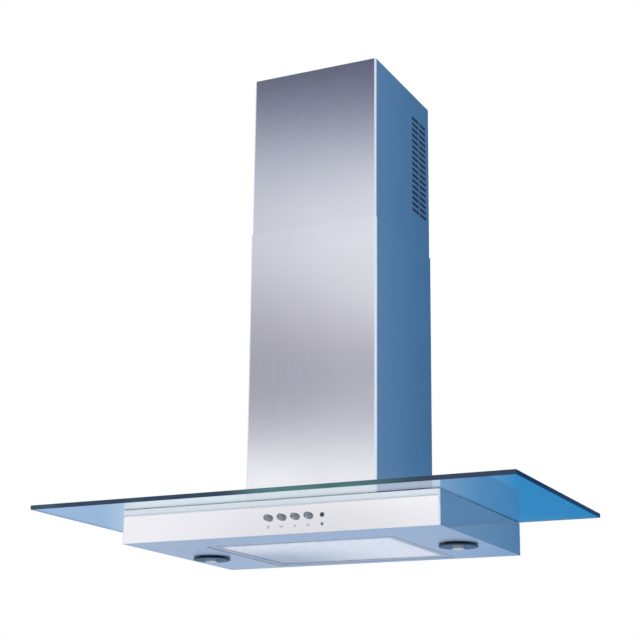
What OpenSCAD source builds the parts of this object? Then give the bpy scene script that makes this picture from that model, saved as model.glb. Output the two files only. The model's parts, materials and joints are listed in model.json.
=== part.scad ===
// Wall chimney range hood with a flat glass shelf, push-button controls,
// two halogen downlights, a hinged grease filter and a telescopic chimney.
// Frame: +Z up, X to the right seen from the front, wall plane at Y = 0,
// the front faces -Y, Z = 0 at the underside of the steel body.

/* [Body] */
// Width of the steel body
body_w = 598; // [560:1:620]
// Depth of the steel body, wall to front panel
body_d = 402; // [395:1:410]
// Height of the steel body
body_h = 60; // [56:1:70]
// Sheet thickness of the body
sheet = 1.2; // [0.8:0.1:1.5]

/* [Glass] */
// Width of the glass shelf
glass_w = 900; // [700:10:1200]
// Overhang of the glass in front of the body
glass_front = 66; // [40:1:80]
// Thickness of the glass
glass_t = 8; // [6:1:10]

/* [Chimney] */
// Outer width of the lower chimney
chim_w = 257; // [254:1:270]
// Outer depth of the lower chimney
chim_d = 265; // [262:1:275]
// Height of the top of the lower chimney
seam_z = 592; // [580:1:700]
// Height of the top of the upper chimney as installed
top_z = 905; // [880:1:1020]
// Sheet thickness of the chimney
csheet = 1; // [0.7:0.1:1.2]
// Length of the upper chimney section
upper_len = 500; // [480:5:520]

/* [Vents] */
// Rows of vent slots on each side
vent_rows = 17; // [8:1:18]
// Pitch of the vent rows
vent_pitch = 11.8; // [11:0.1:12.5]
// Height of one vent slot
vent_h = 6.4; // [4:0.1:7]

/* [Filter] */
// Half width of the filter opening
fo_x = 180; // [150:1:185]
// Front edge of the filter opening, from the wall
fo_y0 = -312; // [-320:1:-300]
// Back edge of the filter opening, from the wall
fo_y1 = -22; // [-24:1:-18]

/* [Controls] */
// Position of the first push button
btn_x = -9.5; // [-30:0.5:20]
// Pitch of the push buttons
btn_pitch = 25; // [22:0.5:28]
// Height of the push buttons above the underside
btn_z = 29; // [26:0.5:34]
// Radius of a push button
btn_r = 5.5; // [4:0.1:6]

/* [Lights] */
// Distance of each light from the centre
lamp_x = 245; // [235:1:255]
// Distance of each light in front of the wall
lamp_y = -176; // [-200:1:-140]

/* [Hidden] */
$fn = 48;

e = 0.01;
lip = 9;
glass_z = body_h;
glass_top = body_h + glass_t;
blow_y = -132;
blow_z = 180;
house_w = 70;
wall = 2.5;
col_y = -160;
out_z = 290;
uw = chim_w - 3;
ud = chim_d - 3;
uy = -1.5;
hinge_y = -30;
hinge_z = 5;
wheel_r = 75;
glass_fix = [[-270, -370], [270, -370], [-270, -40], [270, -40]];

function arc(cx, cy, r, a0, a1, n = 6) =
  [for (i = [0:n]) [cx + r * cos(a0 + (a1 - a0) * i / n), cy + r * sin(a0 + (a1 - a0) * i / n)]];

// Rectangle from the wall to y = -d with rounded front corners
function front_round(w, d, r, y1 = 0) = concat(
  [[w / 2, y1], [-w / 2, y1]],
  arc(-w / 2 + r, -d + r, r, 180, 270),
  arc(w / 2 - r, -d + r, r, 270, 360));

// Open channel section with rounded front corners and return flanges along the wall
function channel(w, d, t, r, fl, y1) = concat(
  [[-w / 2 + fl, y1], [-w / 2, y1]],
  arc(-w / 2 + r, y1 - d + r, r, 180, 270),
  arc(w / 2 - r, y1 - d + r, r, 270, 360),
  [[w / 2, y1], [w / 2 - fl, y1], [w / 2 - fl, y1 - t], [w / 2 - t, y1 - t]],
  arc(w / 2 - r, y1 - d + r, r - t, 360, 270),
  arc(-w / 2 + r, y1 - d + r, r - t, 270, 180),
  [[-w / 2 + t, y1 - t], [-w / 2 + fl, y1 - t]]);

module box(x0, x1, y0, y1, z0, z1) {
  translate([x0, y0, z0]) cube([x1 - x0, y1 - y0, z1 - z0]);
}
module cyl(x, y, z0, z1, r) { translate([x, y, z0]) cylinder(r = r, h = z1 - z0); }
module cylx(x0, x1, y, z, r) { translate([x0, y, z]) rotate([0, 90, 0]) cylinder(r = r, h = x1 - x0); }
module cyly(y0, y1, x, z, r) { translate([x, y1, z]) rotate([90, 0, 0]) cylinder(r = r, h = y1 - y0); }

// ---------------------------------------------------------------- steel body
module canopy_shell() {
  color([0.80, 0.81, 0.84]) difference() {
    union() {
      difference() {
        linear_extrude(body_h - 1) polygon(front_round(body_w, body_d, 4));
        translate([0, 0, sheet]) linear_extrude(body_h - 1 - 2 * sheet)
          polygon([[body_w / 2 - sheet, -sheet], [-body_w / 2 + sheet, -sheet],
                   [-body_w / 2 + sheet, -body_d + sheet], [body_w / 2 - sheet, -body_d + sheet]]);
        box(-body_w / 2 + 14, body_w / 2 - 14, -body_d + 14, -14, body_h - 5, body_h + 5);
      }
      // upturned lip around the filter opening
      difference() {
        box(-fo_x - sheet, fo_x + sheet, fo_y0 - sheet, fo_y1 + sheet, sheet - e, lip);
        box(-fo_x, fo_x, fo_y0, fo_y1, -1, lip + 1);
      }
    }
    box(-fo_x, fo_x, fo_y0, fo_y1, -1, lip + 1);
    for (s = [-1, 1]) {
      cyl(s * lamp_x, lamp_y, -1, sheet + 1, 20);
      for (z = [16, 44]) cyly(-3, 1, s * 240, z, 4);
    }
    for (i = [0:3]) cyly(-body_d - 1, -body_d + 3, btn_x + i * btn_pitch, btn_z, btn_r + 0.4);
    cyly(-body_d - 1, -body_d + 3, btn_x + 4 * btn_pitch, btn_z, 4);
    cylx(-fo_x - 3, -fo_x + 1, hinge_y, hinge_z, 2.1);
    cylx(fo_x - 1, fo_x + 3, hinge_y, hinge_z, 2.1);
    for (p = glass_fix) cyl(p[0], p[1], body_h - 4, body_h, 3);
  }
}

module top_plate() {
  z1 = body_h - 1 - sheet;
  color([0.62, 0.64, 0.67]) difference() {
    box(-body_w / 2 + sheet + 0.3, body_w / 2 - sheet - 0.3, -body_d + sheet + 0.3, -sheet - 0.3, z1 - 1.5, z1);
    box(-66, 66, -236, -40, z1 - 3, z1 + 1);
    for (s = [-1, 1]) box(s > 0 ? 96 : -114, s > 0 ? 114 : -96, -236, -40, z1 - 3, z1 + 1);
    for (p = glass_fix) cyl(p[0], p[1], z1 - 3, z1 + 1, 3);
    for (x = [-84, 84], y = [-170, -94]) cyl(x, y, z1 - 3, z1 + 1, 2.5);
  }
}

module body_screws() {
  z1 = body_h - 1 - sheet - 1.5;
  color([0.72, 0.72, 0.74]) for (x = [-291, 291], y = [-330, -200, -70]) {
    cyl(x, y, z1 - 2.2, z1, 3.5);
  }
}

// ---------------------------------------------------------------- glass shelf
module glass_shelf() {
  c = 0.8;
  gf = -body_d - glass_front;
  color([0.45, 0.66, 0.80, 0.5]) difference() {
    intersection() {
      // polished edges: one bevelled profile along X, one along Y
      along_x(-glass_w / 2, glass_w / 2) polygon([[gf + c, glass_z], [-c, glass_z], [0, glass_z + c], [0, glass_top - c],
        [-c, glass_top], [gf + c, glass_top], [gf, glass_top - c], [gf, glass_z + c]]);
      rotate([90, 0, 0]) linear_extrude(-gf) polygon([[-glass_w / 2 + c, glass_z], [glass_w / 2 - c, glass_z],
        [glass_w / 2, glass_z + c], [glass_w / 2, glass_top - c], [glass_w / 2 - c, glass_top],
        [-glass_w / 2 + c, glass_top], [-glass_w / 2, glass_top - c], [-glass_w / 2, glass_z + c]]);
    }
    box(-118, 118, -254, -14, glass_z - 1, glass_top + 1);
    for (p = glass_fix) cyl(p[0], p[1], glass_z - 1, glass_top + 1, 4.5);
  }
}

module glass_gasket() {
  color([0.12, 0.12, 0.13]) difference() {
    box(-body_w / 2 + 2, body_w / 2 - 2, -body_d + 3, -2, body_h - 1, body_h);
    box(-body_w / 2 + 12, body_w / 2 - 12, -body_d + 13, -12, body_h - 2, body_h + 1);
    for (p = glass_fix) cyl(p[0], p[1], body_h - 2, body_h + 1, 5);
  }
}

module glass_washers() {
  color([0.15, 0.15, 0.16]) for (p = glass_fix) difference() {
    cyl(p[0], p[1], glass_top, glass_top + 1, 9);
    cyl(p[0], p[1], glass_top - 1, glass_top + 2, 2.6);
  }
}

module glass_screws() {
  color([0.85, 0.86, 0.88]) for (p = glass_fix) {
    cyl(p[0], p[1], 50, glass_top + 1.5, 2.5);
    translate([p[0], p[1], glass_top + 1]) cylinder(r1 = 8.5, r2 = 6.5, h = 3.5);
    // hex nut below the top plate
    translate([p[0], p[1], 51.5]) cylinder(r = 4.6, h = 4.8, $fn = 6);
  }
}

// ---------------------------------------------------------------- chimney
module lower_chimney() {
  color([0.80, 0.80, 0.84]) translate([0, 0, glass_top])
    linear_extrude(seam_z - glass_top) polygon(channel(chim_w, chim_d, csheet, 5, 20, 0));
}

module upper_chimney() {
  color([0.70, 0.71, 0.77]) difference() {
    translate([0, 0, top_z - upper_len]) linear_extrude(upper_len) polygon(channel(uw, ud, csheet, 4.5, 42, uy));
    for (i = [0:vent_rows - 1], c = [0, 1])
      box(-uw, uw, -87 + 37 * c, -54 + 37 * c, top_z - 46 - vent_h - i * vent_pitch, top_z - 46 - i * vent_pitch);
    for (x = [-104, 104]) cyly(uy - 5, uy + 1, x, top_z - 17, 1.7);
  }
}

module chimney_bracket() {
  t = 2;
  y1 = uy - csheet;
  color([0.66, 0.67, 0.70]) difference() {
    union() {
      box(-uw / 2 + 2, uw / 2 - 2, y1 - t, y1, top_z - 32, top_z - 2);
      box(-83, 83, y1 - e, 0, top_z - 32, top_z - 2);
      for (s = [-1, 1]) box(s * (uw / 2 - 2.5) - 1.5, s * (uw / 2 - 2.5) + 1.5, y1 - 42, y1, top_z - 32, top_z - 2);
    }
    for (x = [-60, 60]) cyly(y1 - 5, 1, x, top_z - 17, 3.25);
    for (x = [-104, 104]) cyly(y1 - t - 1, y1 + 1, x, top_z - 17, 1.7);
  }
}

module chimney_screws() {
  y1 = uy - csheet - 2;
  color([0.80, 0.80, 0.82]) for (x = [-104, 104]) union() {
    cyly(y1 - 1.8, y1, x, top_z - 17, 3.2);
    cyly(y1 - 0.5, uy, x, top_z - 17, 1.6);
  }
}

module vent_screens() {
  x1 = uw / 2 - csheet;
  color([0.05, 0.07, 0.10]) for (s = [-1, 1])
    box(s > 0 ? x1 - 1.5 : -x1, s > 0 ? x1 : -x1 + 1.5, -92, -12, top_z - 247, top_z - 37);
}

module chimney_clips() {
  x1 = chim_w / 2 - csheet;
  color([0.66, 0.67, 0.70]) for (s = [-1, 1]) union() {
    box(s > 0 ? x1 - 1.2 : -x1, s > 0 ? x1 : -x1 + 1.2, -110, -70, glass_top, glass_top + 21);
    box(s > 0 ? x1 - 9 : -x1, s > 0 ? x1 : -x1 + 9, -110, -70, glass_top, glass_top + 1.4);
  }
}

// ---------------------------------------------------------------- blower
function scroll(o) = concat(
  [for (i = [0:23]) let (a = 40 + 230 * i / 23, r = 84 + 26 * i / 23 - o) [blow_y + r * sin(a), blow_z + r * cos(a)]],
  [[blow_y - 110 + o, out_z], [blow_y + 54 - o, out_z]]);

// the profile is drawn in Y and Z, then turned so that it is extruded along X
module along_x(x0, x1) {
  translate([x0, 0, 0]) rotate([90, 0, 90]) linear_extrude(x1 - x0) children();
}

module housing_half(s) {
  x0 = s < 0 ? -house_w - wall : 0;
  x1 = s < 0 ? 0 : house_w + wall;
  difference() {
    along_x(x0, x1) polygon(scroll(0));
    difference() {
      along_x(s < 0 ? -house_w : -1, s < 0 ? 1 : house_w) polygon(scroll(wall));
      if (s < 0) box(-200, -house_w, -400, 0, 0, 400);
    }
    box(s < 0 ? -house_w : -1, s < 0 ? 1 : house_w, blow_y - 110 + wall, blow_y + 54 - wall, out_z - 20, out_z + 5);
    cylx(s < 0 ? -house_w - wall - 1 : house_w - 1, s < 0 ? -house_w + 1 : house_w + wall + 1, blow_y, blow_z, 60);
  }
}
module blower_housing_left() { color([0.16, 0.17, 0.18]) housing_half(-1); }
module blower_housing_right() { color([0.16, 0.17, 0.18]) housing_half(1); }

module blower_screws() {
  color([0.75, 0.75, 0.78]) for (x = [-84, 84], y = [-170, -94]) {
    cyl(x, y, 66.3, 68.5, 4.5);
    cyl(x, y, 54, 66.5, 2);
  }
}

module vibration_mounts() {
  color([0.10, 0.10, 0.11]) for (x = [-84, 84], y = [-170, -94]) difference() {
    cyl(x, y, body_h - 1 - sheet, 64.5, 7);
    cyl(x, y, 50, 70, 2.1);
  }
}

module blower_feet() {
  color([0.66, 0.67, 0.70]) for (s = [-1, 1]) difference() {
    union() {
      box(s > 0 ? house_w + wall : -house_w - wall - 1.8, s > 0 ? house_w + wall + 1.8 : -house_w - wall, -184, -80, 64.5, 108);
      box(s > 0 ? house_w + wall : -94, s > 0 ? 94 : -house_w - wall, -184, -80, 64.5, 66.3);
    }
    for (y = [-170, -94]) cyl(s * 84, y, 60, 70, 2.2);
  }
}

module motor_body() {
  color([0.35, 0.36, 0.38]) difference() {
    union() {
      cylx(9, 20, blow_y, blow_z, 36);
      cylx(20, 48, blow_y, blow_z, 43);
      cylx(48, 58, blow_y, blow_z, 36);
    }
    cylx(8, 40, blow_y, blow_z, 4.1);
  }
}

module motor_bracket() {
  color([0.66, 0.67, 0.70]) union() {
    difference() {
      cylx(house_w + wall, house_w + wall + 2.5, blow_y, blow_z, 68);
      cylx(house_w + wall - 1, house_w + wall + 4, blow_y, blow_z, 58);
    }
    for (a = [90, 210, 330]) translate([58, blow_y, blow_z]) rotate([a, 0, 0])
      translate([0, -5, 24]) cube([3, 10, 20]);
    for (a = [90, 210, 330]) translate([58, blow_y, blow_z]) rotate([a, 0, 0])
      translate([0, -5, 40]) cube([house_w + wall + 2.5 - 58, 10, 3]);
    for (a = [90, 210, 330]) translate([house_w + wall, blow_y, blow_z]) rotate([a, 0, 0])
      translate([0, -5, 40]) cube([2.5, 10, 22]);
  }
}

module motor_shaft() { color([0.78, 0.78, 0.80]) cylx(-16, 36, blow_y, blow_z, 4); }

module impeller() {
  color([0.22, 0.23, 0.25]) difference() {
    union() {
      cylx(-1.5, 1.5, blow_y, blow_z, wheel_r - 0.5);
      cylx(-14, 6, blow_y, blow_z, 11);
      for (x = [-60, 57.5]) difference() {
        cylx(x, x + 2.5, blow_y, blow_z, wheel_r);
        cylx(x - 1, x + 4, blow_y, blow_z, wheel_r - 8);
      }
      for (i = [0:29]) translate([0, blow_y, blow_z]) rotate([i * 12, 0, 0])
        translate([-59, 0, wheel_r - 7.2]) rotate([38, 0, 0]) translate([0, -0.6, -6]) cube([118, 1.2, 12]);
    }
    cylx(-20, 20, blow_y, blow_z, 4);
  }
}

module outlet_collar() {
  color([0.18, 0.19, 0.20]) difference() {
    union() {
      box(-80, 80, blow_y - 112, blow_y + 54, out_z, out_z + 3);
      cyl(0, col_y, out_z + 3 - e, out_z + 53, 74.5);
    }
    cyl(0, col_y, out_z + 3, out_z + 60, 72);
    cyl(0, col_y, out_z - 1, out_z + 4, 68);
    cylx(-80, 80, col_y, out_z + 18, 1.5);
  }
}

module damper_pin() { color([0.8, 0.8, 0.82]) cylx(-74.3, 74.3, col_y, out_z + 18, 1.5); }

module flap(s) {
  z = out_z + 18;
  difference() {
    union() {
      intersection() {
        cyl(0, col_y, z - 0.6, z + 0.6, 70.5);
        box(-80, 80, s < 0 ? col_y - 80 : col_y + 3.2, s < 0 ? col_y - 3.2 : col_y + 80, z - 2, z + 2);
      }
      for (x = s < 0 ? [-58, 2] : [-28, 32]) {
        cylx(x, x + 26, col_y, z, 2.8);
        box(x, x + 26, s < 0 ? col_y - 6 : col_y + 1.8, s < 0 ? col_y - 1.8 : col_y + 6, z - 0.6, z + 0.6);
      }
    }
    cylx(-80, 80, col_y, z, 1.6);
  }
}
module damper_flap_front() { color([0.20, 0.21, 0.22]) flap(-1); }
module damper_flap_rear() { color([0.20, 0.21, 0.22]) flap(1); }

// ---------------------------------------------------------------- electrics
module control_box() {
  color([0.86, 0.86, 0.84]) difference() {
    box(-68, 68, -78, -18, 246, 288);
    box(-66, 66, -76, -10, 248, 286);
    cyl(40, -45, 284, 292, 6.05);
    cylx(64, 70, -45, 266, 3.2);
  }
}
module control_box_cover() {
  color([0.88, 0.88, 0.86]) union() {
    box(-68, 68, -18, -16, 246, 288);
  }
}
module control_board() {
  color([0.10, 0.35, 0.18]) union() {
    box(-62, 8, -72, -70.4, 251, 283);
    for (x = [-58, 4], z = [254, 280]) cyly(-76, -71, x, z, 2);
    box(-54, -26, -70.5, -42, 254, 280);
    box(-22, -8, -70.5, -56, 256, 268);
    for (i = [0:2]) box(-22 + i * 9, -15 + i * 9, -70.5, -58, 272, 280);
  }
}
module capacitor() { color([0.85, 0.86, 0.88]) cylx(14, 56, -45, 262, 14); }
module wiring_loom() {
  r = 3;
  // axis-aligned runs with a round elbow at each turn
  color([0.10, 0.10, 0.11]) union() {
    cyly(-372.5, -340, 41, 40, r);
    translate([41, -340, 40]) sphere(r = r);
    cylx(41, 105, -340, 40, r);
    translate([105, -340, 40]) sphere(r = r);
    cyly(-340, -215, 105, 40, r);
    translate([105, -215, 40]) sphere(r = r);
    cyl(105, -215, 40, 82, r);
    translate([105, -215, 82]) sphere(r = r);
    cyly(-215, -45, 105, 82, r);
    translate([105, -45, 82]) sphere(r = r);
    cyl(105, -45, 82, 266, r);
    translate([105, -45, 266]) sphere(r = r);
    cylx(60, 105, -45, 266, r);
    // branches to the lights
    for (s = [-1, 1]) {
      cylx(s > 0 ? 105 : -lamp_x, s > 0 ? lamp_x : 105, -215, 46, 2);
      translate([s * lamp_x, -215, 46]) sphere(r = 2);
      cyly(-215, lamp_y, s * lamp_x, 46, 2);
      translate([s * lamp_x, lamp_y, 46]) sphere(r = 2);
      cyl(s * lamp_x, lamp_y, 36, 46, 2);
    }
  }
}
module cable_gland() {
  color([0.08, 0.08, 0.09]) difference() {
    union() {
      cyl(40, -45, 282, 300, 6);
      translate([40, -45, 288]) cylinder(r = 10, h = 4, $fn = 6);
      cyl(40, -45, 292, 303, 7.5);
    }
    cyl(40, -45, 278, 308, 3.5);
  }
}

// ---------------------------------------------------------------- controls
module switch_block() {
  y0 = -body_d + sheet;
  color([0.14, 0.14, 0.15]) difference() {
    union() {
      box(btn_x - 14, btn_x + 4 * btn_pitch + 12, y0 + 8, y0 + 26, btn_z - 12, btn_z + 13);
      for (x = [btn_x - 12, btn_x + 4 * btn_pitch + 8]) box(x, x + 3, y0, y0 + 8.5, btn_z - 8, btn_z + 8);
      cyly(y0 + 4, y0 + 9, btn_x + 4 * btn_pitch, btn_z, 3.4);
    }
    for (i = [0:3]) cyly(y0 + 7, y0 + 20, btn_x + i * btn_pitch, btn_z, 3.6);
  }
}
module switch_board() {
  y0 = -body_d + sheet;
  color([0.10, 0.35, 0.18]) box(btn_x - 12, btn_x + 4 * btn_pitch + 10, y0 + 26, y0 + 27.6, btn_z - 10, btn_z + 11);
}
module pilot_lens() {
  color([0.35, 0.10, 0.10]) union() {
    cyly(-body_d - 0.8, -body_d + sheet + 4, btn_x + 4 * btn_pitch, btn_z, 3.9);
  }
}
module button(i) {
  x = btn_x + i * btn_pitch;
  color([0.55, 0.56, 0.58]) union() {
    translate([x, -body_d - 8, btn_z]) rotate([-90, 0, 0]) cylinder(r = btn_r, h = 11.4);
    translate([x, -body_d - 9, btn_z]) rotate([-90, 0, 0]) cylinder(r1 = btn_r - 1, r2 = btn_r, h = 1);
    cyly(-body_d + 3, -body_d + 16, x, btn_z, 3.2);
  }
}
module button_1() { button(0); }
module button_2() { button(1); }
module button_3() { button(2); }
module button_4() { button(3); }

// ---------------------------------------------------------------- grease filter
fx = fo_x - 2.5;
fy0 = fo_y0 + 4.5;
fy1 = fo_y1 - 2.5;
module filter_frame() {
  color([0.83, 0.84, 0.86]) difference() {
    box(-fx, fx, fy0, fy1, 0.3, 9.3);
    box(-fx + 12, fx - 12, fy0 + 12, fy1 - 12, -1, 12);
    box(-fx + 1, fx - 1, fy0 + 1, fy1 - 1, 1.5, 8.1);
    box(-27, 27, fy0 + 3, fy0 + 13, -1, 2);
    for (s = [-1, 1]) cylx(s > 0 ? fx - 3 : -fx - 2, s > 0 ? fx + 2 : -fx + 3, hinge_y, hinge_z, 2);
  }
}
module filter_mesh_lower() { color([0.78, 0.79, 0.82]) box(-fx + 3, fx - 3, fy0 + 14, fy1 - 3, 1.5, 2.9); }
module filter_core() { color([0.70, 0.71, 0.74]) box(-fx + 3, fx - 3, fy0 + 14, fy1 - 3, 2.9, 6.7); }
module filter_mesh_upper() { color([0.78, 0.79, 0.82]) box(-fx + 3, fx - 3, fy0 + 14, fy1 - 3, 6.7, 8.1); }
module filter_pins() {
  color([0.8, 0.8, 0.82]) for (s = [-1, 1])
    cylx(s > 0 ? fx - 2.5 : -fo_x - 4, s > 0 ? fo_x + 4 : -fx + 2.5, hinge_y, hinge_z, 2);
}
module filter_latch() {
  color([0.30, 0.31, 0.33]) union() {
    box(-25.5, 25.5, fy0 + 2.2, fy0 + 7.6, 1.9, 3.2);
    box(-24, 24, fy0 + 4.2, fy0 + 7.4, 0.4, 2.4);
    box(-9, 9, fy0 + 2.2, fy0 + 7.6, 3.1, 6);
  }
}

// ---------------------------------------------------------------- downlights
module lamp_ring(s) {
  color([0.10, 0.18, 0.30]) translate([s * lamp_x, lamp_y, 0]) rotate_extrude()
    polygon([[12, -1.7], [34, -1.7], [35, -2.5], [35, -3.5], [33, -4.5], [12, -4.5]]);
}
module lamp_cup(s) {
  color([0.80, 0.81, 0.83]) translate([s * lamp_x, lamp_y, 0]) rotate_extrude()
    polygon([[11, -7.6], [12, -7.6], [12, -1.2], [22, -1.2], [24, 0],
             [19.6, 0], [19.6, 3.5], [17, 3.5], [17, 22], [6.2, 22], [6.2, 20.5], [9, 14], [10.4, 4], [11, -3]]);
}
module lamp_lens(s) {
  color([0.9, 0.93, 0.95, 0.5]) translate([s * lamp_x, lamp_y, 0]) rotate_extrude()
    polygon([[0, -10.4], [4, -10], [8, -9], [10.9, -7.4], [10.9, -4.5], [0, -6]]);
}
module lamp_bulb(s) {
  color([0.95, 0.95, 0.92]) union() {
    cyl(s * lamp_x, lamp_y, 8, 21, 4.2);
    translate([s * lamp_x, lamp_y, 8]) sphere(r = 4.2);
    for (d = [-2, 2]) cyl(s * lamp_x + d, lamp_y, 20, 26, 0.5);
  }
}
module lamp_socket(s) {
  color([0.92, 0.91, 0.88]) difference() {
    cyl(s * lamp_x, lamp_y, 22, 36, 11);
    for (d = [-2, 2]) cyl(s * lamp_x + d, lamp_y, 20, 27, 0.7);
  }
}
module lamp_ring_left() { lamp_ring(-1); }
module lamp_cup_left() { lamp_cup(-1); }
module lamp_lens_left() { lamp_lens(-1); }
module lamp_bulb_left() { lamp_bulb(-1); }
module lamp_socket_left() { lamp_socket(-1); }
module lamp_ring_right() { lamp_ring(1); }
module lamp_cup_right() { lamp_cup(1); }
module lamp_lens_right() { lamp_lens(1); }
module lamp_bulb_right() { lamp_bulb(1); }
module lamp_socket_right() { lamp_socket(1); }

canopy_shell();
top_plate();
glass_shelf();
glass_gasket();
glass_screws();
glass_washers();
lower_chimney();
upper_chimney();
chimney_bracket();
chimney_screws();
vent_screens();
chimney_clips();
blower_housing_left();
blower_housing_right();
blower_screws();
blower_feet();
vibration_mounts();
motor_body();
motor_bracket();
motor_shaft();
impeller();
outlet_collar();
damper_pin();
damper_flap_front();
damper_flap_rear();
control_box();
control_box_cover();
control_board();
capacitor();
wiring_loom();
cable_gland();
switch_block();
switch_board();
pilot_lens();
button_1();
button_2();
button_3();
button_4();
filter_frame();
filter_mesh_lower();
filter_core();
filter_mesh_upper();
filter_latch();
filter_pins();
lamp_ring_left();
lamp_cup_left();
lamp_lens_left();
lamp_bulb_left();
lamp_socket_left();
lamp_ring_right();
lamp_cup_right();
lamp_lens_right();
lamp_bulb_right();
lamp_socket_right();
body_screws();
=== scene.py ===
import json
import math
import bpy
from mathutils import Matrix, Vector

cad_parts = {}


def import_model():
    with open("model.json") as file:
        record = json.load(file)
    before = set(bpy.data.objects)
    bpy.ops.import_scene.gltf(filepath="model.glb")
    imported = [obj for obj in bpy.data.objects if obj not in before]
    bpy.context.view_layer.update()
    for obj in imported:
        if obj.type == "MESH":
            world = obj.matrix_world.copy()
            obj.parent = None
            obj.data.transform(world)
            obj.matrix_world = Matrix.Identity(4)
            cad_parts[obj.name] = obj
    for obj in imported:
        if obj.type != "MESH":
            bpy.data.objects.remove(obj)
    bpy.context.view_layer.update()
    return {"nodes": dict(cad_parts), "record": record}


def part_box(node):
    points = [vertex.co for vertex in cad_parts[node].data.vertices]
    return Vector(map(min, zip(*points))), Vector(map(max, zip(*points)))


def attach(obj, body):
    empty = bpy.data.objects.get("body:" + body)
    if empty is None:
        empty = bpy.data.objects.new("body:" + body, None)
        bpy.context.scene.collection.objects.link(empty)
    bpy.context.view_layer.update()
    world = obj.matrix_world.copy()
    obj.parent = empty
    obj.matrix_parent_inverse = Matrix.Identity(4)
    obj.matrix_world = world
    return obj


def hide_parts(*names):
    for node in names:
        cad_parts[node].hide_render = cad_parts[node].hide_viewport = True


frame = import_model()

sc = bpy.context.scene
sc.view_settings.view_transform = "Standard"
sc.view_settings.look = "None"
NODES = frame["nodes"]


def lin(r, g, b):
    def f(c):
        c /= 255.0
        return c / 12.92 if c <= 0.04045 else ((c + 0.055) / 1.055) ** 2.4
    return (f(r), f(g), f(b))


# ------------------------------------------------------------------ camera
yaw, pitch, roll = math.radians(-25.713), math.radians(14.404), math.radians(0.54)
fwd = Vector((math.sin(yaw) * math.cos(pitch), math.cos(yaw) * math.cos(pitch), math.sin(pitch)))
rgt = Vector((math.cos(yaw), -math.sin(yaw), 0))
up = rgt.cross(fwd)
r2 = rgt * math.cos(roll) + up * math.sin(roll)
u2 = -rgt * math.sin(roll) + up * math.cos(roll)
cam_data = bpy.data.cameras.new("camera")
cam_data.sensor_width = 36.0
cam_data.lens = 86.64
cam_data.shift_y = 0.075
cam_data.clip_end = 60
cam = bpy.data.objects.new("camera", cam_data)
sc.collection.objects.link(cam)
cm = Matrix((r2, u2, -fwd)).transposed().to_4x4()
cm.translation = Vector((1.1823, -2.6823, -0.3702))
cam.matrix_world = cm
sc.camera = cam


# ------------------------------------------------------------------ node helpers
class Graph:
    def __init__(self, tree):
        self.t = tree
        tree.nodes.clear()

    def n(self, kind, **props):
        node = self.t.nodes.new(kind)
        for k, v in props.items():
            setattr(node, k, v)
        return node

    def put(self, socket, value):
        if hasattr(value, "is_output"):
            self.t.links.new(value, socket)
        else:
            socket.default_value = value

    def math(self, op, a, b=None, clamp=False):
        m = self.n("ShaderNodeMath", operation=op, use_clamp=clamp)
        self.put(m.inputs[0], a)
        if b is not None:
            self.put(m.inputs[1], b)
        return m.outputs[0]

    def span(self, v, a, b, c=0.0, d=1.0, smooth=True):
        m = self.n("ShaderNodeMapRange", interpolation_type="SMOOTHSTEP" if smooth else "LINEAR")
        self.put(m.inputs["Value"], v)
        for k, x in (("From Min", a), ("From Max", b), ("To Min", c), ("To Max", d)):
            m.inputs[k].default_value = x
        return m.outputs["Result"]

    def mix(self, fac, a, b, mode="MIX"):
        m = self.n("ShaderNodeMix", data_type="RGBA", blend_type=mode)
        self.put(m.inputs[0], fac)
        for s, v in ((m.inputs[6], a), (m.inputs[7], b)):
            if not hasattr(v, "is_output"):
                v = (*v[:3], 1.0)
            self.put(s, v)
        return m.outputs[2]

    def ramp(self, fac, stops, interp="LINEAR"):
        r = self.n("ShaderNodeValToRGB")
        r.color_ramp.interpolation = interp
        el = r.color_ramp.elements
        while len(el) > 1:
            el.remove(el[-1])
        el[0].position, el[0].color = stops[0][0], (*stops[0][1], 1)
        for p, c in stops[1:]:
            e = el.new(p)
            e.color = (*c, 1)
        self.put(r.inputs[0], fac)
        return r.outputs[0]

    def noise(self, scale3, detail=3.0, rough=0.55, offset=(0, 0, 0)):
        tc = self.n("ShaderNodeTexCoord")
        mp = self.n("ShaderNodeMapping")
        mp.inputs["Scale"].default_value = scale3
        mp.inputs["Location"].default_value = offset
        self.t.links.new(tc.outputs["Object"], mp.inputs[0])
        nz = self.n("ShaderNodeTexNoise")
        nz.inputs["Scale"].default_value = 1.0
        nz.inputs["Detail"].default_value = detail
        nz.inputs["Roughness"].default_value = rough
        self.t.links.new(mp.outputs[0], nz.inputs["Vector"])
        return nz.outputs["Fac"]


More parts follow.
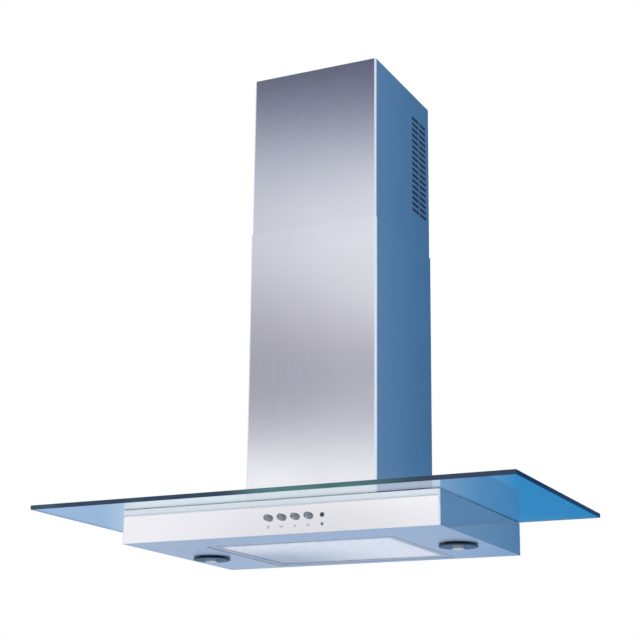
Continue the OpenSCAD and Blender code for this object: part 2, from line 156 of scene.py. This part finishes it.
def material(name, base, metallic=0.0, rough=0.5, grain=(300, 300, 300), tone=0.06, rvar=0.08,
             bump=0.15, dist=0.0001, blotch=6.0, blotch_amt=0.05, colour=None, edge_body=False, under=0.0, **sockets):
    """One principled surface: fine grain in tone, roughness and height, and broad soft handling marks."""
    m = bpy.data.materials.new(name)
    m.use_nodes = True
    g = Graph(m.node_tree)
    out = g.n("ShaderNodeOutputMaterial")
    b = g.n("ShaderNodeBsdfPrincipled")
    g.t.links.new(b.outputs[0], out.inputs[0])
    fine = g.noise(grain, 4.0, 0.6)
    broad = g.noise((blotch, blotch, blotch), 3.0, 0.5, (3.1, 1.7, 0.4))
    lo = tuple(max(0.0, c * (1 - tone)) for c in base)
    hi = tuple(min(1.0, c * (1 + tone)) for c in base)
    col = g.mix(g.span(fine, 0.3, 0.7), lo, hi)
    col = g.mix(g.span(broad, 0.35, 0.7, 0.0, blotch_amt), col, tuple(c * 0.6 for c in base))
    if colour:
        col = colour(g, col)
    g.put(b.inputs["Base Color"], col)
    b.inputs["Metallic"].default_value = metallic
    r = g.math("ADD", g.span(fine, 0.25, 0.75, rough - rvar / 2, rough + rvar / 2),
               g.span(broad, 0.4, 0.7, 0.0, rvar * 0.6), clamp=True)
    g.put(b.inputs["Roughness"], r)
    if bump:
        bp = g.n("ShaderNodeBump")
        bp.inputs["Strength"].default_value = bump
        bp.inputs["Distance"].default_value = dist
        g.put(bp.inputs["Height"], fine)
        g.t.links.new(bp.outputs[0], b.inputs["Normal"])
    for k, v in sockets.items():
        b.inputs[k.replace("_", " ")].default_value = v
    if under:
        tc = g.n("ShaderNodeTexCoord")
        sx = g.n("ShaderNodeSeparateXYZ")
        g.t.links.new(tc.outputs["Normal"], sx.inputs[0])
        g.put(b.inputs["Roughness"], g.math("ADD", r, g.span(sx.outputs[2], -0.6, -0.8, 0.0, under), clamp=True))
    if edge_body:
        g.put(b.inputs["Transmission Weight"], g.math("SUBTRACT", 1.0, g.math("MULTIPLY", pane_edge(g), 0.62)))
    return m


MATS = {}


def pane_edge(g):
    tc = g.n("ShaderNodeTexCoord")
    s = g.n("ShaderNodeSeparateXYZ")
    g.t.links.new(tc.outputs["Object"], s.inputs[0])
    ax = g.math("ABSOLUTE", s.outputs[0])
    ex = g.math("GREATER_THAN", ax, 0.4490)
    ey = g.math("LESS_THAN", s.outputs[1], -0.4670)
    ez = g.math("GREATER_THAN", s.outputs[1], -0.0010)
    return g.math("MAXIMUM", g.math("MAXIMUM", ex, ey), ez)


def edge_tint_and_painted_reflection(g, col):
    """Polished edges of the pane look green-blue and denser than its faces, unevenly along their length: that is their
    own tint. Painted reflection: the edge colour is also mixed towards a dark navy, fully so at the right end of the
    pane, standing in for dark surroundings seen in the edge there.
    """
    n = g.noise((5, 5, 5), 2.0, 0.5)
    tc = g.n("ShaderNodeTexCoord")
    s = g.n("ShaderNodeSeparateXYZ")
    g.t.links.new(tc.outputs["Object"], s.inputs[0])
    # Painted reflection: the edge turns dark navy towards the right end (x above 0.12 m), patchily elsewhere; only the
    # teal is the glass's own edge tint.
    edge = g.mix(g.math("MULTIPLY", g.span(n, 0.40, 0.68), g.span(s.outputs[0], 0.32, 0.12)), lin(18, 56, 90), lin(88, 144, 140))
    return g.mix(pane_edge(g), col, edge)


def make_materials():
    S = {}
    brushed_x = (18, 18, 2600)
    brushed_z = (2600, 2600, 14)
    S["brushed_body"] = material("brushed_body", (0.93, 0.93, 0.94), 1.0, 0.085, brushed_x, 0.02, 0.035, 0.02, 0.00002,
                                 5.0, 0.03, under=0.17, Anisotropic=0.3)
    S["brushed_chimney_lower"] = material("brushed_chimney_lower", (0.94, 0.94, 0.95), 1.0, 0.10, brushed_z, 0.02, 0.04,
                                          0.03, 0.00002, 4.0, 0.03, Anisotropic=0.3)
    S["brushed_chimney_upper"] = material("brushed_chimney_upper", (0.91, 0.91, 0.93), 1.0, 0.10, brushed_z, 0.02, 0.04,
                                          0.03, 0.00002, 4.0, 0.03, Anisotropic=0.3)

    def spangle(g, col):
        tc = g.n("ShaderNodeTexCoord")
        v = g.n("ShaderNodeTexVoronoi")
        v.inputs["Scale"].default_value = 140.0
        g.t.links.new(tc.outputs["Object"], v.inputs["Vector"])
        bw = g.n("ShaderNodeRGBToBW")
        g.t.links.new(v.outputs["Color"], bw.inputs[0])
        return g.mix(g.span(bw.outputs[0], 0.2, 0.8, 0.0, 0.45), col, (0.42, 0.44, 0.47))
    S["galvanised"] = material("galvanised", (0.68, 0.69, 0.72), 0.9, 0.42, (180, 180, 180), 0.05, 0.1, 0.1, 0.0001,
                               colour=spangle)
    S["glass"] = material("glass", (0.86, 0.965, 1.0), 0.0, 0.012, (9, 9, 9), 0.02, 0.01, 0.0, 0.0, 3.0, 0.02,
                          # The glass edges get their own green-blue tint plus a painted reflection: dark navy towards
                          # the right end.
                          colour=edge_tint_and_painted_reflection, edge_body=True, Transmission_Weight=1.0, IOR=1.45)
    S["rubber"] = material("rubber", (0.035, 0.035, 0.037), 0.0, 0.75, (900, 900, 900), 0.3, 0.15, 0.3, 0.0002)
    S["screw_steel"] = material("screw_steel", (0.75, 0.76, 0.78), 1.0, 0.25, (900, 900, 300), 0.08, 0.12, 0.15, 0.0001)
    S["blower_plastic"] = material("blower_plastic", (0.045, 0.046, 0.05), 0.0, 0.5, (1400, 1400, 1400), 0.2, 0.15, 0.35, 0.0002)
    S["impeller_plastic"] = material("impeller_plastic", (0.09, 0.095, 0.10), 0.0, 0.42, (700, 700, 700), 0.15, 0.12, 0.2, 0.0001)

    def laminations(g, col):
        tc = g.n("ShaderNodeTexCoord")
        w = g.n("ShaderNodeTexWave", bands_direction="X")
        w.inputs["Scale"].default_value = 330.0
        g.t.links.new(tc.outputs["Object"], w.inputs["Vector"])
        return g.mix(g.span(w.outputs["Fac"], 0.2, 0.9), col, (0.05, 0.05, 0.055))
    S["motor_steel"] = material("motor_steel", (0.20, 0.21, 0.23), 0.8, 0.42, (300, 300, 300), 0.1, 0.1, 0.2, 0.0002,
                                colour=laminations)
    S["shaft_steel"] = material("shaft_steel", (0.7, 0.7, 0.72), 1.0, 0.22, (20, 2200, 2200), 0.06, 0.1, 0.1, 0.00005)
    S["box_plastic"] = material("box_plastic", (0.80, 0.80, 0.77), 0.0, 0.48, (1200, 1200, 1200), 0.03, 0.1, 0.2, 0.0001)
    S["board_green"] = material("board_green", (0.02, 0.16, 0.06), 0.0, 0.35, (500, 500, 500), 0.25, 0.15, 0.2, 0.0001)
    S["capacitor_can"] = material("capacitor_can", (0.78, 0.79, 0.81), 1.0, 0.3, (1800, 1800, 20), 0.05, 0.1, 0.1, 0.00005)
    S["cable_black"] = material("cable_black", (0.02, 0.02, 0.022), 0.0, 0.5, (700, 700, 700), 0.3, 0.15, 0.25, 0.0001)
    S["vent_black"] = material("vent_black", lin(34, 54, 78), 0.0, 0.6, (2200, 2200, 2200), 0.25, 0.15, 0.3, 0.0002,
                               Specular_IOR_Level=0.2)
    S["switch_plastic"] = material("switch_plastic", (0.04, 0.04, 0.043), 0.0, 0.5, (1200, 1200, 1200), 0.2, 0.15, 0.25, 0.0001)
    S["pilot_smoke"] = material("pilot_smoke", (0.045, 0.045, 0.05), 0.0, 0.18, (500, 500, 500), 0.15, 0.05, 0.05, 0.0001,
                              Coat_Weight=0.5)
    S["button_chrome"] = material("button_chrome", (0.31, 0.31, 0.345), 1.0, 0.11, (900, 900, 900), 0.05, 0.06, 0.06, 0.00005)
    S["filter_aluminium"] = material("filter_aluminium", (0.60, 0.63, 0.69), 0.75, 0.38, (30, 1800, 1800), 0.05, 0.1, 0.1, 0.00005)

    def weave(g, col):
        tc = g.n("ShaderNodeTexCoord")
        v = g.n("ShaderNodeTexVoronoi", feature="DISTANCE_TO_EDGE")
        mp = g.n("ShaderNodeMapping")
        mp.inputs["Scale"].default_value = (260, 420, 260)
        g.t.links.new(tc.outputs["Object"], mp.inputs[0])
        v.inputs["Scale"].default_value = 1.0
        g.t.links.new(mp.outputs[0], v.inputs["Vector"])
        return g.mix(g.span(v.outputs["Distance"], 0.02, 0.3), col, (0.50, 0.52, 0.56))
    S["filter_mesh"] = material("filter_mesh", (0.90, 0.91, 0.94), 0.45, 0.4, (900, 900, 900), 0.06, 0.12, 0.15, 0.0002,
                                colour=weave)

    # Painted shade: the expanded-metal strands are mixed towards a darker blue-grey towards the rear left of the
    # filter. This stands in for a darker reflection there, not a tone of the metal.
    def painted_shade_rear_left(g, col):
        tc = g.n("ShaderNodeTexCoord")
        sp = g.n("ShaderNodeSeparateXYZ")
        g.t.links.new(tc.outputs["Object"], sp.inputs[0])
        f = g.math("MULTIPLY", g.span(sp.outputs[0], 0.10, -0.17), g.span(sp.outputs[1], -0.27, -0.10))
        return g.mix(g.math("MULTIPLY", f, 0.78), col, (0.42, 0.48, 0.60))
    # mesh_strand carries painted shade: darker blue-grey towards the rear left of the filter.
    S["mesh_strand"] = material("mesh_strand", (0.95, 0.96, 0.98), 0.5, 0.38, (900, 900, 900), 0.06, 0.12, 0.1, 0.0001,
                                colour=painted_shade_rear_left)
    S["latch_plastic"] = material("latch_plastic", (0.12, 0.125, 0.135), 0.0, 0.45, (1200, 1200, 1200), 0.15, 0.12, 0.25, 0.0001)
    S["lamp_ring_black"] = material("lamp_ring_black", (0.018, 0.045, 0.085), 0.0, 0.24, (500, 500, 500), 0.12, 0.05, 0.03, 0.00005,
                                    Specular_IOR_Level=0.3, IOR=1.18)
    S["lamp_reflector"] = material("lamp_reflector", (0.85, 0.87, 0.90), 1.0, 0.12, (700, 700, 700), 0.05, 0.06, 0.1, 0.0001)
    S["lamp_glass"] = material("lamp_glass", (0.92, 0.95, 0.98), 0.0, 0.14, (420, 420, 420), 0.04, 0.1, 0.5, 0.0006,
                               Transmission_Weight=0.75, IOR=1.45)
    S["bulb_glass"] = material("bulb_glass", (0.96, 0.97, 0.98), 0.0, 0.03, (200, 200, 200), 0.02, 0.02, 0.0, 0.0,
                               Transmission_Weight=1.0, IOR=1.45)
    S["socket_ceramic"] = material("socket_ceramic", (0.86, 0.84, 0.79), 0.0, 0.65, (900, 900, 900), 0.04, 0.15, 0.3, 0.0002)
    S["print_grey"] = material("print_grey", (0.16, 0.16, 0.19), 0.0, 0.5, (900, 900, 900), 0.1, 0.1, 0.1, 0.00002)
    return S


MATS = make_materials()
slot_of = {s["node"]: s["material_slot"] for s in frame["record"]["subparts"]}
for name, ob in NODES.items():
    m = MATS[slot_of[name]]
    if not ob.material_slots:
        ob.data.materials.append(m)
    for s in ob.material_slots:
        s.material = m


# ------------------------------------------------------------------ extra pieces
def mesh_object(name, verts, faces, mat, smooth=False):
    me = bpy.data.meshes.new(name)
    me.from_pydata([tuple(v) for v in verts], [], faces)
    me.validate()
    me.update()
    me.materials.append(mat)
    for p in me.polygons:
        p.use_smooth = smooth
    ob = bpy.data.objects.new(name, me)
    sc.collection.objects.link(ob)
    return ob


def expanded_sheet(name, x0, x1, y0, y1, z0, z1, px, py, w, t, mat, shift=0.0):
    """Expanded metal: rows of zigzag strands that meet at their peaks, each a flat bar, tilted as the slitting leaves it."""
    verts, faces = [], []
    nx = int((x1 - x0) / (px / 2))
    ny = int((y1 - y0 - w) / py)
    sx = (x1 - x0) / nx
    sy = (y1 - y0 - 2 * w) / ny
    zc = (z0 + z1) / 2
    tz = (z1 - z0) / 2 - t / 2
    for j in range(ny):
        yc = y0 + w + (j + 0.5) * sy
        base = len(verts)
        for i in range(nx + 1):
            x = x0 + i * sx
            s = 1 if (i + j) % 2 else -1
            y = yc + s * (sy / 2 - w * 0.1)
            z = zc + s * tz
            verts += [(x, y - w / 2, z - t / 2), (x, y + w / 2, z - t / 2), (x, y + w / 2, z + t / 2), (x, y - w / 2, z + t / 2)]
        for i in range(nx):
            a, b = base + 4 * i, base + 4 * (i + 1)
            for k in range(4):
                k2 = (k + 1) % 4
                faces.append((a + k, b + k, b + k2, a + k2))
        faces.append((base, base + 1, base + 2, base + 3)[::-1])
        e = base + 4 * nx
        faces.append((e, e + 1, e + 2, e + 3))
    ob = mesh_object(name, verts, faces, mat)
    return ob


for nd, label, seed in (("filter_mesh_lower", "filter_expanded_lower", 0), ("filter_mesh_upper", "filter_expanded_upper", 1)):
    lo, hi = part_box(nd)
    ob = expanded_sheet(label, lo.x, hi.x, lo.y, hi.y, lo.z, hi.z, 0.0100, 0.0050, 0.0011, 0.0005, MATS["mesh_strand"])
    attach(ob, "filter")
    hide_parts(nd)

def lathe_y(name, x, z, profile, mat, n=56):
    """Turned piece about an axis along Y: profile is (radius, y) from the front centre to the back centre."""
    verts, faces = [], []
    rings_ = []
    for r, y in profile:
        if r < 1e-7:
            rings_.append([len(verts)])
            verts.append((x, y, z))
        else:
            rings_.append(list(range(len(verts), len(verts) + n)))
            verts += [(x + r * math.cos(2 * math.pi * k / n), y, z + r * math.sin(2 * math.pi * k / n)) for k in range(n)]
    for a, b in zip(rings_, rings_[1:]):
        for k in range(n):
            k2 = (k + 1) % n
            if len(a) == 1:
                faces.append((a[0], b[k2], b[k]))
            elif len(b) == 1:
                faces.append((a[k], a[k2], b[0]))
            else:
                faces.append((a[k], a[k2], b[k2], b[k]))
    ob = mesh_object(name, verts, faces, mat, smooth=True)
    return ob


def mark_sharp(ob, degrees=40):
    import bmesh
    bm = bmesh.new()
    bm.from_mesh(ob.data)
    bmesh.ops.recalc_face_normals(bm, faces=bm.faces)
    for e in bm.edges:
        if len(e.link_faces) == 2 and e.calc_face_angle(0) > math.radians(degrees):
            e.smooth = False
    bm.to_mesh(ob.data)
    bm.free()
    ob.data.update()


BODY_OF = {1: "button_off", 2: "button_low", 3: "button_high", 4: "button_light"}
for i in range(1, 5):
    a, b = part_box(f"button_{i}")
    cx_, cz_ = (a.x + b.x) / 2, (a.z + b.z) / 2
    R, y0, y1 = (b.x - a.x) / 2, a.y, b.y
    prof = [(0, y0 + 0.0016), (R * 0.35, y0 + 0.0014), (R * 0.62, y0 + 0.0007), (R * 0.72, y0 + 0.0002), (R * 0.80, y0),
            (R * 0.89, y0 + 0.0002), (R * 0.96, y0 + 0.0006), (R, y0 + 0.0013), (R, y0 + 0.0050), (R * 0.95, y0 + 0.0053),
            (R * 0.95, y0 + 0.0058), (R, y0 + 0.0061), (R, y0 + 0.0124), (0.0032, y0 + 0.0124), (0.0032, y1), (0, y1)]
    ob = lathe_y(f"push_button_{i}", cx_, cz_, prof, MATS["button_chrome"])
    mark_sharp(ob)
    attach(ob, BODY_OF[i])
    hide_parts(f"button_{i}")

# Printed symbols under the push buttons: rings and bars only
lo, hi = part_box("canopy_shell")
FY = lo.y
mv, mf = [], []


def plate(pts, y0=None, y1=None):
    y0 = FY - 0.00012 if y0 is None else y0
    y1 = FY - 0.00001 if y1 is None else y1
    b, n = len(mv), len(pts)
    mv.extend([(x, y0, z) for x, z in pts])
    mv.extend([(x, y1, z) for x, z in pts])
    mf.append(tuple(range(b, b + n)))
    mf.append(tuple(range(b + 2 * n - 1, b + n - 1, -1)))
    for i in range(n):
        j = (i + 1) % n
        mf.append((b + j, b + i, b + n + i, b + n + j))


def disc(x, z, r, n=20):
    plate([(x + r * math.cos(2 * math.pi * i / n), z + r * math.sin(2 * math.pi * i / n)) for i in range(n)])


def ring(x, z, ro, ri, n=24):
    for i in range(n):
        a0, a1 = 2 * math.pi * i / n, 2 * math.pi * (i + 1) / n
        plate([(x + ri * math.cos(a0), z + ri * math.sin(a0)), (x + ro * math.cos(a0), z + ro * math.sin(a0)),
               (x + ro * math.cos(a1), z + ro * math.sin(a1)), (x + ri * math.cos(a1), z + ri * math.sin(a1))])


def bar(x0, x1, z0, z1):
    plate([(x0, z0), (x1, z0), (x1, z1), (x0, z1)])


bxs = []
for i in range(4):
    a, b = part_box(f"button_{i + 1}")
    bxs.append((a.x + b.x) / 2)
a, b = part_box("pilot_lens")
px_ = (a.x + b.x) / 2
zi = 0.0130
ring(bxs[0], zi, 0.0021, 0.0014)
bar(bxs[0] - 0.0004, bxs[0] + 0.0004, zi, zi + 0.0030)
bar(bxs[1] - 0.0030, bxs[1] - 0.0022, zi - 0.0018, zi + 0.0018)
ring(bxs[1] + 0.0010, zi, 0.0019, 0.0013)
bar(bxs[2] - 0.0013, bxs[2] - 0.0006, zi - 0.0018, zi + 0.0018)
bar(bxs[2] + 0.0006, bxs[2] + 0.0013, zi - 0.0018, zi + 0.0018)
ring(bxs[3], zi, 0.0019, 0.0013)
for k in range(4):
    ca, sa = math.cos(math.pi / 4 + k * math.pi / 2), math.sin(math.pi / 4 + k * math.pi / 2)
    p0, p1 = 0.0023, 0.0033
    nx_, nz_ = -sa * 0.0002, ca * 0.0002
    plate([(bxs[3] + ca * p0 + nx_, zi + sa * p0 + nz_), (bxs[3] + ca * p0 - nx_, zi + sa * p0 - nz_),
           (bxs[3] + ca * p1 - nx_, zi + sa * p1 - nz_), (bxs[3] + ca * p1 + nx_, zi + sa * p1 + nz_)])
disc(px_, zi + 0.0006, 0.0027)
marks = mesh_object("fascia_marks", mv, mf, MATS["print_grey"])
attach(marks, "hood")


# ------------------------------------------------------------------ studio
def world():
    w = bpy.data.worlds.new("studio")
    sc.world = w
    w.use_nodes = True
    g = Graph(w.node_tree)
    out = g.n("ShaderNodeOutputWorld")
    tc = g.n("ShaderNodeTexCoord")
    nm = g.n("ShaderNodeVectorMath", operation="NORMALIZE")
    g.t.links.new(tc.outputs["Generated"], nm.inputs[0])
    s = g.n("ShaderNodeSeparateXYZ")
    g.t.links.new(nm.outputs[0], s.inputs[0])
    X, Y, Z = s.outputs
    az = g.math("MULTIPLY", g.math("ARCTAN2", X, Y), 180 / math.pi)          # 0 = +Y, 90 = +X
    el = g.math("MULTIPLY", g.math("ARCSINE", Z), 180 / math.pi)

    # the big front softbox wall that the front panels mirror, in bands of height
    def L(a, b, c, k=1.0):
        return tuple(v * k for v in lin(a, b, c))
    bands = [(-90, L(200, 205, 215)), (-12, L(225, 228, 235)), (2, L(250, 250, 253)), (9.4, L(250, 250, 253)),
             (10.2, L(255, 255, 255, 1.25)), (10.9, L(238, 240, 246)), (12.1, L(189, 190, 203)), (13.4, L(172, 170, 185)),
             (15.0, L(174, 172, 186)), (16.6, L(195, 194, 206)), (18.2, L(222, 222, 233)), (20.0, L(229, 230, 240)),
             (21.4, L(206, 210, 225)), (22.6, L(177, 181, 199)), (24.0, L(132, 136, 157)), (25.4, L(94, 98, 121)),
             (27, L(72, 76, 102)), (40, L(140, 142, 162)), (90, L(240, 240, 245))]
    front = g.ramp(g.span(el, -90, 90, smooth=False), [((e + 90) / 180, c) for e, c in bands])
    # the softbox is a little brighter towards its right end
    side_k = g.math("MULTIPLY", g.span(az, -152.0, -157.5), g.math("MULTIPLY", g.span(el, 14.5, 17.5), g.span(el, 23.5, 20.5)))
    left_k = g.math("MULTIPLY", g.span(az, -157.0, -150.0), g.span(el, 10.0, 11.5))
    front = g.mix(g.math("MULTIPLY", left_k, 0.16), front, (0.0, 0.0, 0.0))
    front = g.mix(g.math("MULTIPLY", side_k, 0.40), front, (1.0, 1.0, 1.0))
    # and it dips a little in the middle of its lower edge
    dip = g.ramp(g.span(az, -162, -145, smooth=False), [((a + 162) / 17, (k, k, k * 1.02)) for a, k in
                 ((-162, 0.95), (-158.4, 0.91), (-157.3, 0.87), (-155.1, 0.79), (-153.5, 0.80), (-151.5, 0.85), (-150, 0.93), (-147.8, 0.97), (-145, 1.0))])
    front = g.mix(g.span(el, 9.9, 9.4), front, g.mix(1.0, front, dip, "MULTIPLY"))
    # colours round the horizon
    turn = [(-180, L(225, 228, 236)), (-120, L(225, 228, 236)), (-80, L(215, 225, 240)), (-40, L(160, 197, 235)), (-33.5, L(164, 198, 234)), (-32.6, L(242, 248, 253)),
            (-25, L(232, 243, 250)), (-22.6, L(208, 224, 240)), (-21.2, L(158, 195, 228)), (-19.2, L(26, 138, 196)), (-12, L(22, 132, 190)), (2, L(30, 104, 166)),
            (17, L(50, 98, 142)), (21.3, L(52, 98, 140)), (22.4, L(70, 116, 160)), (23.3, L(84, 128, 170)), (24.4, L(104, 142, 182)),
            (40, L(110, 146, 188)), (58, L(184, 198, 218)), (72, L(214, 224, 238)), (128, L(232, 238, 248)),
            (146, L(225, 228, 236)), (180, L(225, 228, 236))]
    horizon = g.ramp(g.span(az, -180, 180, smooth=False), [((a + 180) / 360, c) for a, c in turn])
    # a paler patch low on the right, mirrored by the body's flank
    flank = g.ramp(g.span(az, 0, 45, smooth=False), [(17 / 45, L(66, 116, 162)), (18.2 / 45, L(80, 126, 169)), (20 / 45, L(108, 146, 184)),
                                                    (21.4 / 45, L(116, 150, 188)), (24 / 45, L(104, 142, 182))])
    inside = g.math("MULTIPLY", g.span(az, 12, 15), g.span(az, 32, 28))
    horizon = g.mix(g.math("MULTIPLY", g.span(el, 10.4, 9.5), inside), horizon, flank)
    isfront = g.math("SUBTRACT", 1.0, g.span(Y, -0.62, -0.40), clamp=True)
    isleft = g.math("SUBTRACT", 1.0, g.span(X, 0.0, 0.25), clamp=True)
    col = g.mix(g.math("MULTIPLY", isfront, isleft), horizon, front)
    # ceiling
    col = g.mix(g.span(el, 34, 60), col, L(235, 238, 245, 1.0))
    # what the undersides mirror: low and behind
    low = [(-180, L(225, 230, 238)), (-70, L(215, 224, 238)), (-45, L(172, 192, 222)), (-34, L(158, 180, 212)), (-26, L(158, 180, 212)),
           (-22.5, L(156, 180, 213)), (-18.5, L(196, 212, 234)), (-14.0, L(196, 212, 234)), (-9.5, L(130, 165, 206)), (-3, L(64, 126, 186)), (20, L(90, 130, 175)), (60, L(180, 200, 225)),
           (100, L(220, 228, 240)), (180, L(225, 230, 238))]
    down = g.ramp(g.span(az, -180, 180, smooth=False), [((a + 180) / 360, c) for a, c in low])
    # a deep blue card lower down, which the pane's right end mirrors
    card = [(-180, L(225, 230, 238)), (-70, L(215, 224, 238)), (-45, L(172, 192, 222)), (-34, L(158, 180, 212)), (-26, L(158, 180, 212)),
            (-20.5, L(158, 181, 213)), (-18.6, L(70, 140, 196)), (-10, L(58, 134, 192)), (20, L(90, 130, 175)), (60, L(180, 200, 225)),
            (100, L(220, 228, 240)), (180, L(225, 230, 238))]
    card = g.ramp(g.span(az, -180, 180, smooth=False), [((a + 180) / 360, c) for a, c in card])
    down = g.mix(g.span(el, -8.35, -8.75), down, card)
    down = g.mix(g.span(el, -24, -50), down, L(238, 243, 252, 1.0))
    col = g.mix(g.span(el, -1.5, -6.0), col, down)
    lp = g.n("ShaderNodeLightPath")
    bg1 = g.n("ShaderNodeBackground")
    bg2 = g.n("ShaderNodeBackground")
    g.put(bg1.inputs[0], col)
    bg1.inputs[1].default_value = 1.0
    bg2.inputs[0].default_value = (1, 1, 1, 1)
    bg2.inputs[1].default_value = 1.0
    mx = g.n("ShaderNodeMixShader")
    g.t.links.new(lp.outputs["Is Camera Ray"], mx.inputs[0])
    g.t.links.new(bg1.outputs[0], mx.inputs[1])
    g.t.links.new(bg2.outputs[0], mx.inputs[2])
    g.t.links.new(mx.outputs[0], out.inputs[0])


world()


def area(name, loc, target, size, power, colour=(1, 1, 1), glossy=False):
    d = bpy.data.lights.new(name, "AREA")
    d.shape = "DISK"
    d.size = size
    d.energy = power
    d.color = colour
    o = bpy.data.objects.new(name, d)
    sc.collection.objects.link(o)
    o.location = loc
    o.rotation_euler = (Vector(target) - Vector(loc)).to_track_quat("-Z", "Y").to_euler()
    o.visible_glossy = glossy
    o.visible_camera = False
    return o


area("key", (-1.6, -2.6, 2.2), (0, -0.2, 0.3), 0.7, 55, (1, 0.99, 0.97))
area("fill", (0.6, -0.7, -1.3), (0, -0.2, 0.0), 1.4, 17, (0.92, 0.96, 1))

fl = mesh_object("floor", [(-8, -8, -1.55), (8, -8, -1.55), (8, 8, -1.55), (-8, 8, -1.55)], [(0, 1, 2, 3)],
                 bpy.data.materials.new("floor"))
fm = fl.data.materials[0]
fm.use_nodes = True
g = Graph(fm.node_tree)
out = g.n("ShaderNodeOutputMaterial")
pb = g.n("ShaderNodeBsdfPrincipled")
pb.inputs["Roughness"].default_value = 0.85
g.put(pb.inputs["Base Color"], g.mix(g.span(g.noise((2, 2, 2)), 0.3, 0.7), (0.84, 0.845, 0.85), (0.88, 0.88, 0.885)))
tr = g.n("ShaderNodeBsdfTransparent")
geo = g.n("ShaderNodeNewGeometry")
mx = g.n("ShaderNodeMixShader")
g.t.links.new(geo.outputs["Backfacing"], mx.inputs[0])
g.t.links.new(pb.outputs[0], mx.inputs[1])
g.t.links.new(tr.outputs[0], mx.inputs[2])
g.t.links.new(mx.outputs[0], out.inputs[0])
fl.visible_glossy = False
fl.visible_transmission = False
